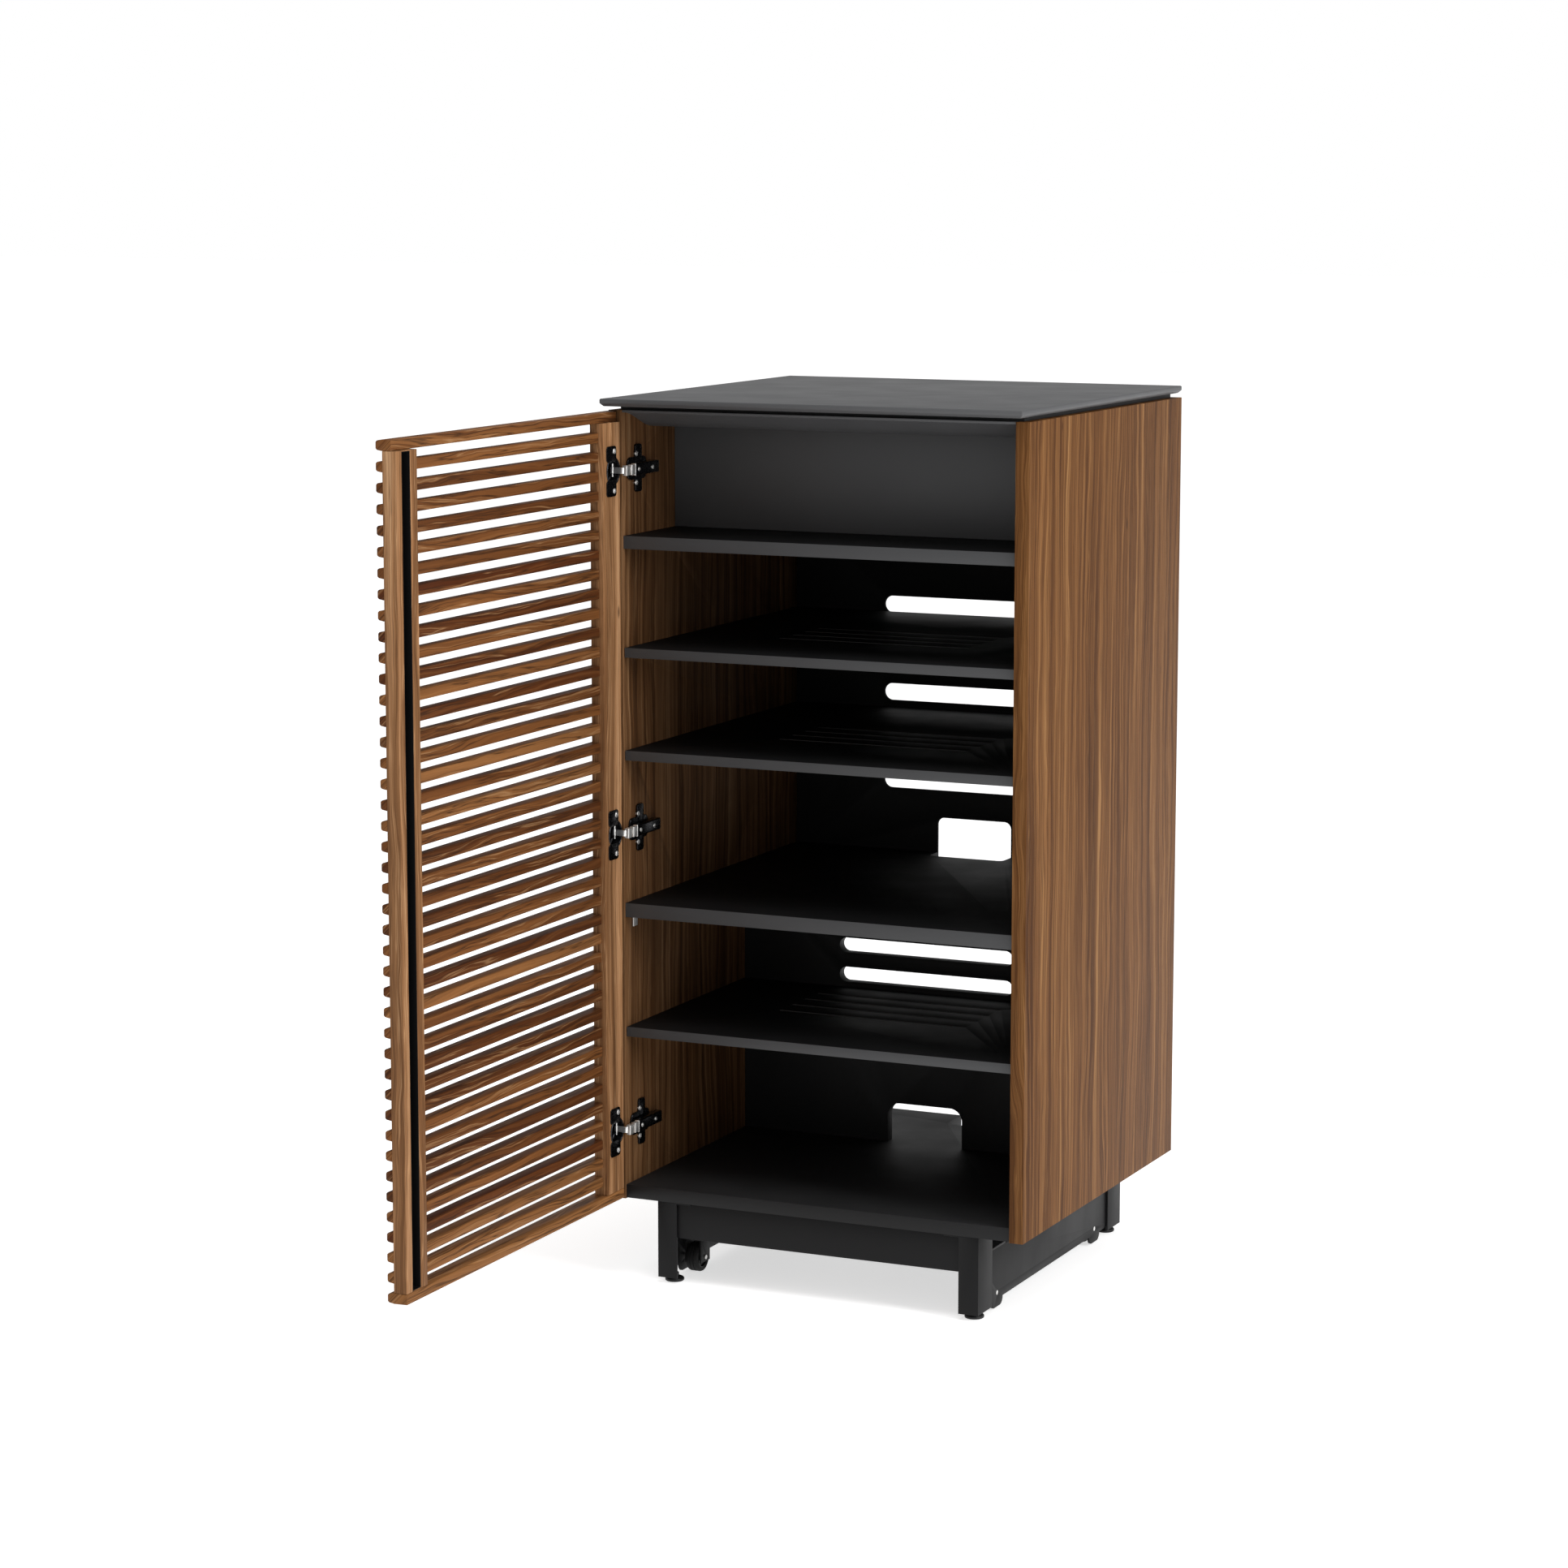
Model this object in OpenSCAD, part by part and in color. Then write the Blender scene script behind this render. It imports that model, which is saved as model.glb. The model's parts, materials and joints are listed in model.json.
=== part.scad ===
// Tall cabinet with one louvred door, six bays, rear cable cut-outs and a wheeled base.
// Frame: +Z up, floor at z = 0, x = 0 midway between the side panels,
// y = 0 in the plane of the door's hinge axis, front towards -Y.
// The door is drawn open, at right angles to the front.

/* [Cabinet] */
// Overall width across the side panels
cab_w = 592; // [560:1:640]
// Depth of the side panels
cab_d = 567; // [540:1:620]
// Height of the side panels
side_h = 1058; // [1050:1:1066]
// Thickness of the side panels
side_t = 19; // [16:0.5:22]
// Height of the side panels' lower edge above the floor
base_h = 113; // [105:1:125]
// Thickness of the bottom panel
bottom_t = 18; // [15:1:22]

/* [Top] */
// Thickness of the top slab
slab_t = 10; // [8:0.5:16]
// How far the slab reaches in front of the side panels
slab_front = 26; // [10:1:30]
// Shadow gap between the side panels and the slab
slab_gap = 6; // [3:0.5:12]
// Width of the bevel round the slab's lower edge
slab_bevel = 4; // [1:0.5:5]
// Thickness of the sub-top behind its coved front
subtop_t = 26; // [20:1:34]
// Length of the cove, front to back
cove_d = 92; // [60:1:120]

/* [Shelves] */
// Top face of the upper fixed shelf, above the floor
shelf_1_z = 1006; // [990:1:1020]
// Top face of the first adjustable shelf
shelf_2_z = 858; // [840:1:870]
// Top face of the second adjustable shelf
shelf_3_z = 721; // [700:1:730]
// Top face of the middle fixed shelf
shelf_4_z = 516; // [505:1:525]
// Top face of the third adjustable shelf
shelf_5_z = 348; // [330:1:360]
// Thickness of the upper fixed shelf
upper_t = 17; // [15:1:20]
// Thickness of the middle fixed shelf
middle_t = 19; // [16:1:22]
// Thickness of the adjustable shelves
loose_t = 13; // [10:1:16]
// Setback of the shelves behind the side panels' front edges
shelf_inset = 4; // [2:0.5:10]
// Length of the air slots in the adjustable shelves
air_l = 275; // [200:5:320]
// Width of the air slots
air_w = 6; // [4:0.5:8]

/* [Back panels] */
// Depth of the top bay, from the front to the upper back panel
bay_top_d = 157; // [140:1:200]
// Depth of the middle bays, from the front to the rear panel
bay_mid_d = 551; // [530:1:560]
// Depth of the lower bays, from the front to the lower back panel
bay_low_d = 375; // [350:1:400]
// Thickness of the upper and lower back panels
back_t = 16; // [12:1:18]
// Thickness of the rear panels
rear_t = 4; // [3:0.5:6]
// Length of the long slots in the rear panel
slot_l = 278; // [240:1:320]
// Height of the long slots in the rear panel
slot_h = 24; // [16:1:26]
// Length of the long slots in the lower back panel
low_slot_l = 260; // [240:1:320]
// Height of the long slots in the lower back panel
low_slot_h = 21; // [16:1:26]
// Width of the cable ports and of the notches that meet them
port_w = 112; // [80:1:140]
// Width of the notch in the bottom panel's rear edge
floor_notch_w = 46; // [30:1:80]

/* [Door] */
// Width of the door
door_w = 586; // [560:1:586]
// Thickness over the slats
door_t = 27.5; // [26:0.5:32]
// Thickness of the stiles
stile_t = 18.5; // [16:0.5:20]
// Width of each stile
stile_w = 51; // [45:1:60]
// Number of slats
slat_count = 42; // [42:1:42]
// Distance from one slat to the next
slat_pitch = 25.4; // [25:0.1:25.6]
// Height of the lowest slat's centre above the side panels' lower edge
slat_low = 8.8; // [8:0.2:10]
// How far the slats' inner faces sit behind the stiles' inner faces
slat_recess = 6; // [4:0.5:8]
// Gap between the closed door and the side panels
door_gap = 3; // [2.5:0.5:4]
// Width of the finger pull channel
pull_w = 20; // [16:1:24]
// Distance from the door's free edge to the channel
pull_edge = 14.5; // [12:0.5:18]

/* [Hinges] */
// Distance from the hinge axis to the door's inner face and to its edge
axis_in = 8; // [8:1:8]
// Heights of the three hinges above the floor, lowest first
hinge_low_z = 211; // [190:1:230]
// Height of the middle hinge
hinge_mid_z = 613; // [590:1:640]
// Height of the top hinge
hinge_top_z = 1093; // [1070:1:1110]
// Radius of the hinge pins
pin_r = 1.2; // [1:0.1:1.4]
// Radial clearance of a pin or axle in a part that turns on it
run_gap = 0.05; // [0.02:0.01:0.1]

/* [Base] */
// Overall width of the base
base_w = 464; // [420:1:500]
// Setback of the base behind the side panels' front edges
base_inset = 6; // [2:1:20]
// Depth of the base
base_d = 530; // [500:1:550]
// Thickness of the base's steel
steel = 3; // [2:0.5:4]
// Width of a leg's front flange
leg_w = 28; // [24:1:40]
// Depth of a leg's side flange
leg_d = 49; // [40:1:60]
// Height of the front and rear rails
rail_h = 49; // [40:1:60]
// Height of the side rails' lower edge above the floor
side_rail_low = 13; // [10:1:20]
// Height of the side rails' upper edge above the floor
side_rail_top = 82; // [75:1:90]
// Radius of the wheels
wheel_r = 20; // [18:1:21]
// Width of the wheels
wheel_w = 18; // [14:1:20]
// Radius of a leveller's foot disc
foot_r = 13; // [10:0.5:16]

/* [Hidden] */
$fn = 48;
eps = 0.01;

hinge_names = ["low", "mid", "top"];
hinge_zs = [hinge_low_z, hinge_mid_z, hinge_top_z];
corner_names = ["front_left", "front_right", "rear_left", "rear_right"];
slat_groups = 5;

// Cabinet
half_w = cab_w / 2;
half_in = half_w - side_t;
front_y = axis_in + door_gap;
rear_y = front_y + cab_d;
side_top = base_h + side_h;
bottom_z = base_h + 1;
floor_z = bottom_z + bottom_t;
spacer_inset = 12;

// Fixed shelves, from the front edge back
shelf_y = front_y + shelf_inset;
rear_panel_y = front_y + bay_mid_d;
low_panel_y = front_y + bay_low_d;
top_panel_y = front_y + bay_top_d;
shelf_gap = 1;
mid_notch_d = 32;
bottom_notch_d = 59;
notch_r = 8;

// Slots and ports in the back panels
mid_slot_zs = [617, 743, 868];
low_slot_zs = [365.5, 407];
mid_port_top = 566;
low_port_top = 188;
port_r = 10;
low_port_r = 18;

// Air slots, measured from the cabinet's front
air_ys = [188, 230, 272, 314];

// Shelf pins, brackets and dowels
pin_hole_r = 2.5;
pin_in = 8;
pin_out = 9;
dowel_r = 4;
dowel_half = 14;
dowel_in_side = 12;

// Door, in its own plan coordinates: w runs from the hinge edge to the free edge,
// t from the inner face to the outer face
axis_x = -half_in - axis_in;
door_z = base_h + slat_low;
slat_half_in = 6.5;
slat_half_mid = 7;
slat_half_out = 5.75;
slat_round = 1.8;
stile_low = door_z + slat_half_mid;
stile_top = door_z + (slat_count - 1) * slat_pitch - slat_half_mid;
stile_edge_r = 3;
pull_depth = 12;
pull_wall = 1;
pull_margin = 1;

// Hinge cups, measured from the door's hinge edge
cup_w = 22;
cup_r = 17.5;
cup_depth = 13.5;
cup_wall = 0.6;
cup_floor = 1;
flange_t = 1.2;
flange_half = 33;
flange_w = [14, 41.5];
cup_screw_w = 20;
cup_screw_half = 26;
screw_r = 1.9;
screw_head_r = 3.6;
screw_head_t = 1.3;
screw_in = 11.5;

// Hinge arms
eye_r = 2.3;
eye_half = 4;
pin_half = 8.6;
arm_half = 8;
neck_t = 2.4;
neck_x = axis_x + 17;
neck_drop = 2.5;
arm_front = front_y + 5;
arm_rear = front_y + 82;
arm_x = [-half_in + 3.2, -half_in + 14];
plate_t = 3;
plate_y = [front_y + 25, front_y + 55];
plate_half = 27;
plate_arm_half = 10;
plate_screw_y = front_y + 37;
plate_screw_half = 19;

// Base
base_half = base_w / 2;
base_front = front_y + base_inset;
base_rear = base_front + base_d;
leg_low = 8.5;
foot_in = [14, 22];
foot_disc_t = 6;
stud_r = 4;
stud_top = 98;
bush_r = 7;
bush_h = 12;
foot_neck_r = 6.5;
foot_neck_h = 5;
plate_x = 78;
plate_reach = 96;
wheel_gap = 1.5;
wheel_x = base_half - 23;
wheel_y = 74;
wheel_rear_y = 94;
tread_r = 3;
cheek_t = 2;
cheek_gap = 0.8;
axle_out = 4;
axle_r = 3;
bracket_half = 14;
bracket_top = wheel_gap + 2 * wheel_r + 5;
tab_low = 2.5;
tab_half = 20;
base_screw_r = 2.5;
base_screw_in = 30;
base_head_r = 4.5;
base_head_t = 3;

walnut = [0.45, 0.29, 0.18];
walnut_dark = [0.36, 0.22, 0.13];
black = [0.09, 0.09, 0.09];
charcoal = [0.2, 0.2, 0.21];
nickel = [0.75, 0.74, 0.72];

// ---------- shared shapes ----------

// A box from its lowest to its highest corner
module block(lo, hi) {
    translate(lo) cube(hi - lo);
}

// A horizontal slot's cutter through a panel that faces Y, centred on x = 0
module slot_y(length, height, z, y, depth) {
    straight = length / 2 - height / 2;
    block([-straight, y - eps, z - height / 2], [straight, y + depth + eps, z + height / 2]);
    for (side = [-1, 1])
        translate([side * straight, y - eps, z]) rotate([-90, 0, 0])
            cylinder(r = height / 2, h = depth + 2 * eps);
}

// A port's cutter through a panel that faces Y, with round upper corners
module port_y(width, low, top, radius, y, depth) {
    half = width / 2;
    block([-half, y - eps, low - eps], [half, y + depth + eps, top - radius]);
    block([-half + radius, y - eps, low], [half - radius, y + depth + eps, top]);
    for (side = [-1, 1])
        translate([side * (half - radius), y - eps, top - radius]) rotate([-90, 0, 0])
            cylinder(r = radius, h = depth + 2 * eps);
}

// A notch's cutter in a shelf's rear edge, with round inner corners
module notch_z(width, front, rear, z, thick) {
    half = width / 2;
    block([-half, front + notch_r, z - eps], [half, rear + eps, z + thick + eps]);
    block([-half + notch_r, front, z - eps], [half - notch_r, rear + eps, z + thick + eps]);
    for (side = [-1, 1])
        translate([side * (half - notch_r), front + notch_r, z - eps])
            cylinder(r = notch_r, h = thick + 2 * eps);
}

// An air slot's cutter through a shelf
module air_slot(y, z) {
    straight = air_l / 2 - air_w / 2;
    block([-straight, y - air_w / 2, z - eps], [straight, y + air_w / 2, z + loose_t + eps]);
    for (side = [-1, 1])
        translate([side * straight, y, z - eps]) cylinder(r = air_w / 2, h = loose_t + 2 * eps);
}

// A rod along X from x0 to x1
module rod_x(x0, x1, y, z, radius) {
    translate([x0, y, z]) rotate([0, 90, 0]) cylinder(r = radius, h = x1 - x0);
}

// A place on the open door: w from the hinge edge, t behind the inner face
function door_x(t) = -half_in - t;
function door_y(w) = axis_in - w;

// A box on the open door between two (w, t, z) corners
module door_block(w, t, z) {
    block([door_x(t[1]), door_y(w[1]), z[0]], [door_x(t[0]), door_y(w[0]), z[1]]);
}

// ---------- fixings that pass through panels ----------

// Fixed horizontal pieces that dowels join to the sides: [middle of thickness, front, rear]
fixed_rows = [
    [bottom_z + bottom_t / 2, shelf_y, rear_y - 3],
    [shelf_4_z - middle_t / 2, shelf_y, rear_panel_y],
    [shelf_1_z - upper_t / 2, shelf_y, rear_panel_y],
    [side_top - subtop_t / 2, shelf_y, rear_panel_y]
];

function dowel_ys(row) = [for (k = [0.3, 0.6, 0.9]) row[1] + k * (row[2] - row[1])];

// The dowels at one side, or their holes when grow is above zero
module dowels(side, grow = 0) {
    x0 = half_in - dowel_half - grow;
    x1 = half_in + dowel_in_side + grow;
    for (row = fixed_rows, y = dowel_ys(row))
        rod_x(side > 0 ? x0 : -x1, side > 0 ? x1 : -x0, y, row[0], dowel_r);
}

// Adjustable shelves: [top face, rear edge]
loose_rows = [
    [shelf_2_z, rear_panel_y - 3],
    [shelf_3_z, rear_panel_y - 3],
    [shelf_5_z, low_panel_y - 3]
];

// The shelf pins at one side
module pins(side) {
    x0 = half_in - pin_out;
    x1 = half_in + pin_in;
    for (row = loose_rows, y = [shelf_y + 36, row[1] - 60])
        rod_x(side > 0 ? x0 : -x1, side > 0 ? x1 : -x0, y, row[0] - loose_t - pin_hole_r, pin_hole_r);
}

// The screws that hold the hinge plates, as rods into the left side panel
module plate_screws() {
    for (z = hinge_zs, s = [-1, 1])
        rod_x(-half_in - screw_in, -half_in + plate_t + screw_head_t, plate_screw_y,
              z + s * plate_screw_half, screw_r);
}

// The screws that hold the hinge cups, as rods into the hinge stile
module cup_screws() {
    for (z = hinge_zs, s = [-1, 1])
        rod_x(-half_in - screw_in, -half_in + flange_t + screw_head_t, door_y(cup_screw_w),
              z + s * cup_screw_half, screw_r);
}

// ---------- cabinet ----------

module side_panel(side) {
    color(walnut)
    difference() {
        mirror([side < 0 ? 1 : 0, 0, 0]) block([half_in, front_y, base_h], [half_w, rear_y, side_top]);
        dowels(side);
        pins(side);
        if (side < 0) plate_screws();
    }
}

module bottom_panel() {
    color(black)
    difference() {
        block([-half_in, shelf_y - 2, bottom_z], [half_in, rear_y - 1, floor_z]);
        notch_z(floor_notch_w, rear_y - 1 - bottom_notch_d, rear_y, bottom_z, bottom_t);
        dowels(-1);
        dowels(1);
        base_screw_shafts();
    }
}

// The sub-top's coved underside, falling in a smooth wave from a thin front lip
module sub_top() {
    lip = 3;
    steps = 12;
    front = front_y + 2;
    color(charcoal)
    difference() {
        translate([-half_in, 0, 0]) rotate([90, 0, 90]) linear_extrude(height = 2 * half_in)
            polygon(concat(
                [[rear_panel_y, side_top], [front, side_top]],
                [for (i = [0 : steps])
                    [front + cove_d * i / steps,
                     side_top - lip - (subtop_t - lip) * (1 - cos(180 * i / steps)) / 2]],
                [[rear_panel_y, side_top - subtop_t]]
            ));
        dowels(-1);
        dowels(1);
    }
}

module top_spacer() {
    color(black)
    block([-half_w + spacer_inset, front_y + spacer_inset, side_top],
          [half_w - spacer_inset, rear_y - spacer_inset, side_top + slab_gap]);
}

// The slab, with a bevel round its lower edge
module top_slab() {
    z0 = side_top + slab_gap;
    y0 = front_y - slab_front;
    color(charcoal)
    intersection() {
        block([-half_w, y0, z0], [half_w, rear_y, z0 + slab_t]);
        translate([0, rear_y + 1, 0]) rotate([90, 0, 0]) linear_extrude(height = rear_y - y0 + 2)
            slab_outline(-half_w, half_w, z0);
        translate([-half_w - 1, 0, 0]) rotate([90, 0, 90]) linear_extrude(height = cab_w + 2)
            slab_outline(y0, rear_y, z0);
    }
}

module slab_outline(from, to, z0) {
    top_bevel = 1;
    polygon([
        [from + slab_bevel, z0], [to - slab_bevel, z0], [to, z0 + slab_bevel],
        [to, z0 + slab_t - top_bevel], [to - top_bevel, z0 + slab_t],
        [from + top_bevel, z0 + slab_t], [from, z0 + slab_t - top_bevel], [from, z0 + slab_bevel]
    ]);
}

module shelf_upper_fixed() {
    color(black)
    difference() {
        block([-half_in, shelf_y, shelf_1_z - upper_t], [half_in, rear_panel_y, shelf_1_z]);
        dowels(-1);
        dowels(1);
    }
}

module shelf_middle_fixed() {
    color(black)
    difference() {
        block([-half_in, shelf_y, shelf_4_z - middle_t], [half_in, rear_panel_y, shelf_4_z]);
        notch_z(port_w, rear_panel_y - mid_notch_d, rear_panel_y, shelf_4_z - middle_t, middle_t);
        dowels(-1);
        dowels(1);
    }
}

module shelf_adjustable(row) {
    z0 = row[0] - loose_t;
    x1 = half_in - shelf_gap;
    color(black)
    difference() {
        block([-x1, shelf_y, z0], [x1, row[1], row[0]]);
        for (y = air_ys) air_slot(front_y + y, z0);
    }
}

module back_panel_upper() {
    color(charcoal)
    block([-half_in, top_panel_y, shelf_1_z], [half_in, top_panel_y + back_t, side_top - subtop_t]);
}

module back_panel_lower() {
    color(black)
    difference() {
        block([-half_in, low_panel_y, floor_z], [half_in, low_panel_y + back_t, shelf_4_z - middle_t]);
        for (z = low_slot_zs) slot_y(low_slot_l, low_slot_h, z, low_panel_y, back_t);
        port_y(port_w, floor_z, low_port_top, low_port_r, low_panel_y, back_t);
    }
}

module rear_panel_upper() {
    color(black)
    block([-half_in, rear_panel_y, shelf_1_z - upper_t / 2], [half_in, rear_panel_y + rear_t, side_top]);
}

module rear_panel_middle() {
    z0 = shelf_4_z - middle_t;
    color(black)
    difference() {
        block([-half_in, rear_panel_y, z0], [half_in, rear_panel_y + rear_t, shelf_1_z - upper_t / 2]);
        for (z = mid_slot_zs) slot_y(slot_l, slot_h, z, rear_panel_y, rear_t);
        port_y(port_w, z0, mid_port_top, port_r, rear_panel_y, rear_t);
    }
}

module shelf_pins() {
    color(nickel) {
        pins(-1);
        pins(1);
    }
}

// Small angle brackets under the middle fixed shelf
module shelf_brackets() {
    leg = 16;
    half = 6;
    thick = 2;
    z = shelf_4_z - middle_t;
    color(nickel)
    for (side = [-1, 1], y = [shelf_y + 26, low_panel_y - 70])
        mirror([side < 0 ? 1 : 0, 0, 0]) {
            block([half_in - thick, y - half, z - leg], [half_in, y + half, z]);
            block([half_in - leg, y - half, z - thick], [half_in - thick + eps, y + half, z]);
        }
}

module panel_dowels() {
    color(walnut) {
        dowels(-1);
        dowels(1);
    }
}

// ---------- base ----------

// A corner's place: x is 1 on the right, y is 1 at the rear
corner_signs = [[-1, 0], [1, 0], [-1, 1], [1, 1]];

// Mirror a front right corner's parts to another corner
module at_corner(signs) {
    mid_y = (base_front + base_rear) / 2;
    translate([0, mid_y, 0]) mirror([0, signs[1], 0]) translate([0, -mid_y, 0])
        mirror([signs[0] < 0 ? 1 : 0, 0, 0]) children();
}

foot_x = base_half - foot_in[0];
foot_y = base_front + foot_in[1];

module leg(signs) {
    color(black)
    at_corner(signs)
    difference() {
        union() {
            block([base_half - leg_w, base_front, leg_low], [base_half, base_front + steel, bottom_z]);
            block([base_half - steel, base_front, leg_low], [base_half, base_front + leg_d, bottom_z]);
            block([base_half - leg_d, base_front, bottom_z - steel],
                  [base_half, base_front + leg_d, bottom_z]);
        }
        translate([base_half - base_screw_in, base_front + base_screw_in, bottom_z - steel - eps])
            cylinder(r = base_screw_r, h = steel + 2 * eps);
    }
}

module base_rail(rear) {
    y = rear ? base_rear - 2 * steel : base_front + steel;
    reach = base_half - steel;
    color(black)
    block([-reach, y, bottom_z - rail_h - 1], [reach, y + steel, bottom_z - steel]);
}

// A side rail, with a round tab in front of each wheel
module base_rail_side(side) {
    x1 = base_half - steel;
    y0 = base_front + 2 * steel;
    y1 = base_rear - 2 * steel;
    color(black)
    mirror([side < 0 ? 1 : 0, 0, 0])
    difference() {
        union() {
            block([x1 - steel, y0, side_rail_low], [x1, y1, side_rail_top]);
            for (y = [base_front + wheel_y, base_rear - wheel_rear_y]) rail_tab(x1, y);
        }
        for (y = [base_front + wheel_y, base_rear - wheel_rear_y])
            rod_x(x1 - steel - eps, x1 + eps, y, wheel_gap + wheel_r, axle_r);
    }
}

// A tab with round lower corners that hides a wheel
module rail_tab(x1, y) {
    r = 10;
    for (side = [-1, 1])
        rod_x(x1 - steel, x1, y + side * (tab_half - r), tab_low + r, r);
    block([x1 - steel, y - tab_half + r, tab_low], [x1, y + tab_half - r, side_rail_low + eps]);
    block([x1 - steel, y - tab_half, tab_low + r], [x1, y + tab_half, side_rail_low + r]);
}

// Plates inside the corners, with the threaded bushes of the levellers
module corner_plates() {
    x1 = base_half - steel;
    color(black)
    for (signs = corner_signs) at_corner(signs)
    difference() {
        union() {
            block([x1 - plate_x, base_front + 2 * steel, side_rail_top],
                  [x1, base_front + 2 * steel + plate_reach, side_rail_top + steel]);
            translate([foot_x, foot_y, side_rail_top - bush_h]) cylinder(r = bush_r, h = bush_h + eps);
        }
        translate([foot_x, foot_y, side_rail_top - bush_h - 1])
            cylinder(r = stud_r + run_gap, h = bush_h + steel + 2);
    }
}

module leveller(signs) {
    color(black)
    at_corner(signs) translate([foot_x, foot_y, 0]) {
        cylinder(r = foot_r, h = foot_disc_t);
        cylinder(r = foot_neck_r, h = foot_disc_t + foot_neck_h);
        cylinder(r = stud_r, h = stud_top);
    }
}

// The wheels sit in line with the tabs; the rear pair is set further from its corner
function wheel_place(signs) = [
    signs[0] * wheel_x,
    signs[1] == 0 ? base_front + wheel_y : base_rear - wheel_rear_y
];

module wheel(signs) {
    p = wheel_place(signs);
    color(black)
    translate([p[0] - wheel_w / 2, p[1], wheel_gap + wheel_r]) rotate([0, 90, 0])
    difference() {
        rotate_extrude()
            union() {
                square([wheel_r - tread_r, wheel_w]);
                translate([0, tread_r]) square([wheel_r, wheel_w - 2 * tread_r]);
                for (h = [tread_r, wheel_w - tread_r])
                    translate([wheel_r - tread_r, h]) circle(r = tread_r);
            }
        translate([0, 0, -1]) cylinder(r = axle_r + run_gap, h = wheel_w + 2);
    }
}

// Inverted U brackets, bolted to the side rails
module wheel_brackets() {
    z0 = wheel_gap + wheel_r - 2 * axle_r;
    inner = wheel_x - wheel_w / 2 - cheek_gap - cheek_t;
    outer = wheel_x + wheel_w / 2 + cheek_gap;
    color(black)
    for (signs = corner_signs) {
        y = wheel_place(signs)[1];
        mirror([signs[0] < 0 ? 1 : 0, 0, 0])
        difference() {
            union() {
                for (x = [inner, outer])
                    block([x, y - bracket_half, z0], [x + cheek_t, y + bracket_half, bracket_top + eps]);
                block([inner, y - bracket_half, bracket_top],
                      [base_half - 2 * steel, y + bracket_half, bracket_top + steel]);
                block([base_half - 3 * steel, y - bracket_half, bracket_top],
                      [base_half - 2 * steel, y + bracket_half, side_rail_top]);
            }
            rod_x(wheel_x - wheel_w, wheel_x + wheel_w, y, wheel_gap + wheel_r, axle_r);
        }
    }
}

module wheel_axles() {
    color(nickel)
    for (signs = corner_signs) {
        y = wheel_place(signs)[1];
        mirror([signs[0] < 0 ? 1 : 0, 0, 0])
            rod_x(wheel_x - wheel_w / 2 - axle_out, base_half - steel, y, wheel_gap + wheel_r, axle_r);
    }
}

// Shafts of the screws that hold the legs to the bottom panel
module base_screw_shafts() {
    for (signs = corner_signs) at_corner(signs)
        translate([base_half - base_screw_in, base_front + base_screw_in, bottom_z - steel - base_head_t])
            cylinder(r = base_screw_r, h = base_head_t + steel + screw_in);
}

module base_screws() {
    color(nickel) {
        base_screw_shafts();
        for (signs = corner_signs) at_corner(signs)
            translate([base_half - base_screw_in, base_front + base_screw_in, bottom_z - steel - base_head_t])
                cylinder(r = base_head_r, h = base_head_t);
    }
}

// ---------- hinges ----------

// A gooseneck arm: an eye on the pin, a neck round the panel's edge, and a long body
module hinge_arm(z) {
    nose = [neck_x, -neck_drop];
    color(nickel) {
        translate([0, 0, z - eye_half])
        difference() {
            union() {
                translate([axis_x, 0, 0]) cylinder(r = eye_r, h = 2 * eye_half);
                linear_extrude(height = 2 * eye_half)
                    polygon([[axis_x, -neck_t / 2], [nose[0], nose[1] - neck_t / 2],
                             [nose[0], nose[1] + neck_t / 2], [axis_x, neck_t / 2]]);
            }
            translate([axis_x, 0, -eps]) cylinder(r = pin_r + run_gap, h = 2 * eye_half + 2 * eps);
        }
        block([neck_x - neck_t / 2, nose[1] - neck_t / 2, z - eye_half],
              [neck_x + neck_t / 2, arm_front + eps, z + eye_half]);
    }
    color(black)
    block([arm_x[0], arm_front, z - arm_half], [arm_x[1], arm_rear, z + arm_half]);
}

// A cross-shaped plate on the side panel, under the arm
module hinge_plate(z) {
    color(black)
    difference() {
        union() {
            block([-half_in, plate_y[0], z - plate_half],
                  [-half_in + plate_t, plate_y[1], z + plate_half]);
            block([-half_in, arm_front + 8, z - plate_arm_half],
                  [-half_in + plate_t, arm_rear - 6, z + plate_arm_half]);
        }
        for (s = [-1, 1])
            rod_x(-half_in - eps, -half_in + plate_t + eps, plate_screw_y, z + s * plate_screw_half, screw_r);
    }
}

// A steel cup let into the stile, with its flange on the stile's face
module hinge_cup(z) {
    mouth_r = cup_r - cup_wall;
    depth = cup_depth - 0.5;
    color(black)
    difference() {
        union() {
            rod_x(door_x(depth), door_x(0), door_y(cup_w), z, cup_r);
            rod_x(door_x(0) - eps, door_x(-flange_t), door_y(cup_w), z, cup_r + 1.5);
            door_block(flange_w, [-flange_t, 0], [z - flange_half, z + flange_half]);
        }
        rod_x(door_x(depth - cup_floor), door_x(-flange_t - 1), door_y(cup_w), z, mouth_r);
        for (s = [-1, 1])
            rod_x(door_x(1), door_x(-flange_t - 1), door_y(cup_screw_w), z + s * cup_screw_half, screw_r);
    }
}

// Pins whose ends are let into the walls of the cups
module hinge_pins() {
    color(nickel)
    for (z = hinge_zs)
        translate([axis_x, 0, z - pin_half]) cylinder(r = pin_r, h = 2 * pin_half);
}

module hinge_plate_screws() {
    color(nickel) {
        plate_screws();
        for (z = hinge_zs, s = [-1, 1])
            rod_x(-half_in + plate_t, -half_in + plate_t + screw_head_t, plate_screw_y,
                  z + s * plate_screw_half, screw_head_r);
    }
}

module hinge_cup_screws() {
    color(nickel) {
        cup_screws();
        for (z = hinge_zs, s = [-1, 1])
            rod_x(-half_in + flange_t, -half_in + flange_t + screw_head_t, door_y(cup_screw_w),
                  z + s * cup_screw_half, screw_head_r);
    }
}

// ---------- door, drawn open ----------

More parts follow.
